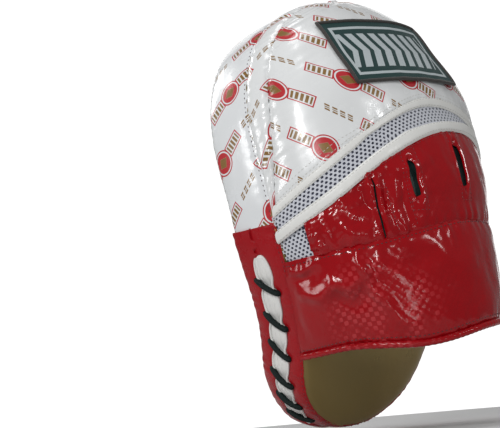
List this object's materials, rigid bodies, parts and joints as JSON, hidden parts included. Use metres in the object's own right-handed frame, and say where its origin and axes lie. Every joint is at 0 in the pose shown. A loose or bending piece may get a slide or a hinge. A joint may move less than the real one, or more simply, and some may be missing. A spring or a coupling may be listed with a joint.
{
  "type": "focus mitt",
  "caption": "Curved padded striking mitt for the right hand, with a laced side, padded finger hood, slit hand cover and wide wrist cuff.",
  "frame": {"origin": "middle of the palm on the pad's back, where the hand holds it", "axes": "+Z from the heel to the fingertips, -Y the way the striking face points, +X to the thumb's side"},
  "size_m": [0.1841, 0.1652, 0.2864],
  "materials": {
    "white_leather": "smooth, slightly glossy",
    "red_leather": "satin",
    "red_patent": "patent, glossy",
    "olive_leather": "satin",
    "foam": "matt foam",
    "lining": "matt",
    "mesh": "open spacer mesh",
    "label": "woven",
    "black_cord": "braided, matt",
    "elastic": "ribbed elastic",
    "hook_tape": "hook tape",
    "loop_tape": "loop tape"
  },
  "bodies": {
    "mitt": {"striking_face": "white_leather", "impact_foam": "foam", "core_foam": "foam", "palm_panel": "olive_leather", "upper_gusset": "white_leather", "lower_gusset": "red_leather", "lace_tongue": "white_leather", "slot_bead": "white_leather", "lace": "black_cord", "hood_side_strip": "white_leather", "hood_panel": "white_leather", "hood_foam": "foam", "hood_lining": "lining", "label_patch": "label", "hood_edge_band": "white_leather", "vent_mesh": "mesh", "cover_edge_band": "white_leather", "thumb_vent_mesh": "mesh", "hand_cover": "red_patent", "cover_lining": "lining", "wrist_cuff": "red_patent", "cuff_foam": "foam", "cuff_lining": "lining", "cuff_hem": "red_patent", "elastic_web": "elastic", "loop_patch": "loop_tape", "palm_grip": "olive_leather"},
    "strap": {"wrist_strap": "red_patent", "hook_patch": "hook_tape"}
  },
  "joints": [
    {"name": "strap_peel", "type": "hinge", "parent": "mitt", "child": "strap", "pos_m": [-0.06619, 0.03872, -0.03128], "axis": [0.1386, -0.0038, -0.9903], "range_deg": [0, 115]}
  ]
}
